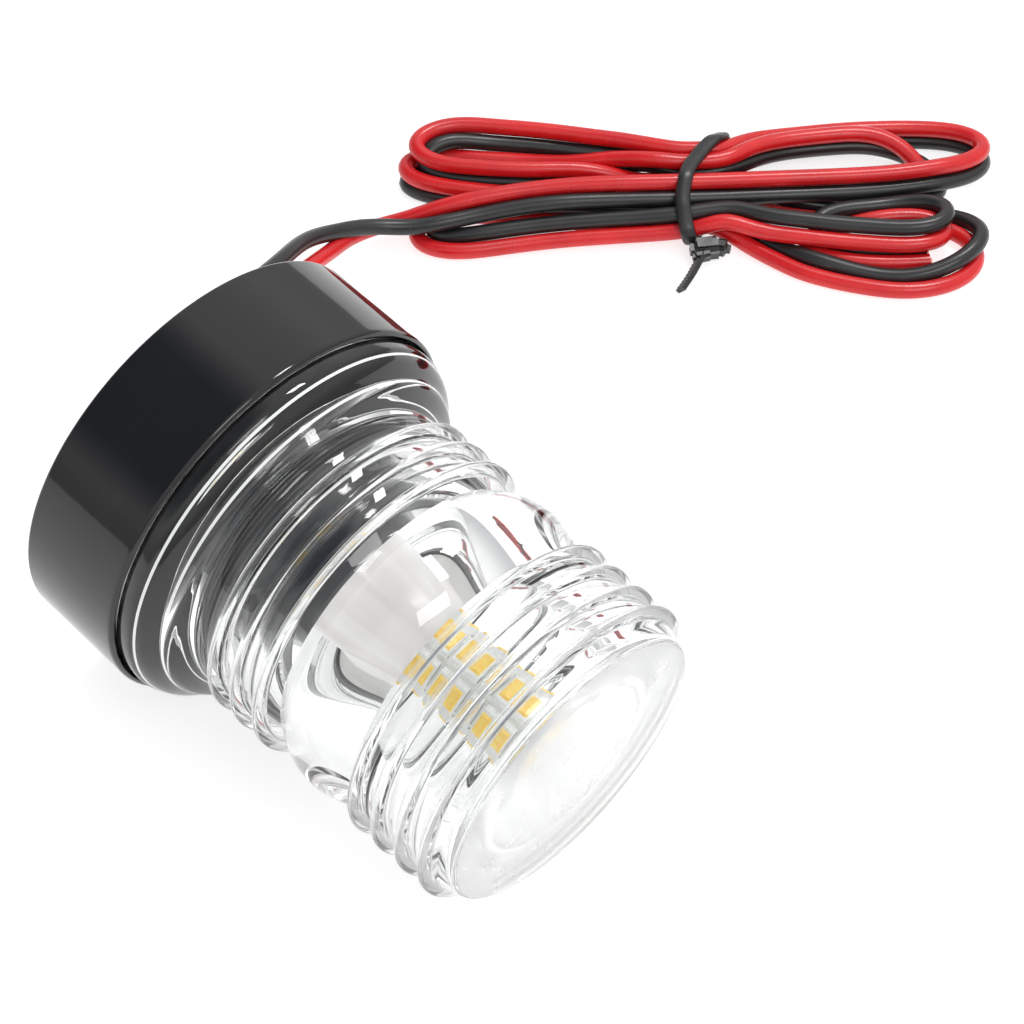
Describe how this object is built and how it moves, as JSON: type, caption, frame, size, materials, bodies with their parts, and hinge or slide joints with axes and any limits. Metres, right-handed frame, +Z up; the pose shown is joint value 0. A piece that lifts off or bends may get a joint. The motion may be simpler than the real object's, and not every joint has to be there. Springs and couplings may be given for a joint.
{
  "type": "navigation light",
  "caption": "Small LED all-round navigation light: black round base, clear ribbed screw-on lens over an LED tower, red and black twin lead tied in a hank.",
  "frame": {"origin": "centre of the light's footprint on the surface it lies on, lead and hank left out", "axes": "+X level, along the light towards the lens end; +Z up from the surface; +Y to the side where the hank lies"},
  "size_m": [0.1176, 0.1758, 0.0616],
  "materials": {
    "gloss_black_abs": "gloss",
    "black_abs": "satin",
    "clear_polycarbonate": "polished clear",
    "black_rubber": "matte",
    "seal_silicone": "matte",
    "stainless_steel": "satin",
    "brass": "satin",
    "white_solder_mask": "gloss",
    "milky_acrylic": "translucent gloss",
    "post_board": "satin",
    "led_phosphor": "gloss",
    "moulded_ic_body": "matte",
    "capacitor_sleeve": "satin",
    "ferrite": "matte",
    "red_pvc": "satin",
    "black_pvc": "satin",
    "lead_hank": "satin",
    "black_nylon": "satin"
  },
  "bodies": {
    "base": {"base_housing": "gloss_black_abs", "rear_cover": "black_abs", "cover_gasket": "seal_silicone", "cover_screw_1": "stainless_steel", "cover_screw_2": "stainless_steel", "cover_screw_3": "stainless_steel", "mount_insert_1": "brass", "mount_insert_2": "brass", "cable_grommet": "black_rubber", "inner_lead_red": "red_pvc", "inner_lead_black": "black_pvc", "led_board": "white_solder_mask", "board_screw_1": "stainless_steel", "board_screw_2": "stainless_steel", "bridge_rectifier": "moulded_ic_body", "driver_ic": "moulded_ic_body", "sense_resistor": "moulded_ic_body", "power_inductor": "ferrite", "filter_capacitor": "capacitor_sleeve", "led_holder": "milky_acrylic", "led_post": "post_board", "lead_red": "red_pvc", "lead_black": "black_pvc", "lead_hank": "lead_hank", "cable_tie": "black_nylon", "led_chip_01": "led_phosphor", "led_chip_02": "led_phosphor", "led_chip_03": "led_phosphor", "led_chip_04": "led_phosphor", "led_chip_05": "led_phosphor", "led_chip_06": "led_phosphor", "led_chip_07": "led_phosphor", "led_chip_08": "led_phosphor", "led_chip_09": "led_phosphor", "led_chip_10": "led_phosphor", "led_chip_11": "led_phosphor", "led_chip_12": "led_phosphor", "led_chip_13": "led_phosphor", "led_chip_14": "led_phosphor", "led_chip_15": "led_phosphor", "led_chip_16": "led_phosphor", "led_chip_17": "led_phosphor", "led_chip_18": "led_phosphor"},
    "seal": {"lens_seal": "seal_silicone"},
    "lens": {"lens": "clear_polycarbonate"}
  },
  "joints": [
    {"name": "lens_turn", "type": "hinge", "parent": "base", "child": "seal", "pos_m": [-0.01982, 0, 0.03003], "axis": [0.9932, 0, -0.1162], "range_deg": [0, 720]},
    {"name": "lens_advance", "type": "slide", "parent": "seal", "child": "lens", "axis": [0.9932, 0, -0.1162], "range_m": [0, 0.0061]}
  ],
  "couplings": [
    {"joint": "lens_advance", "follows": "lens_turn", "m_per_rad": 0.00047746}
  ]
}
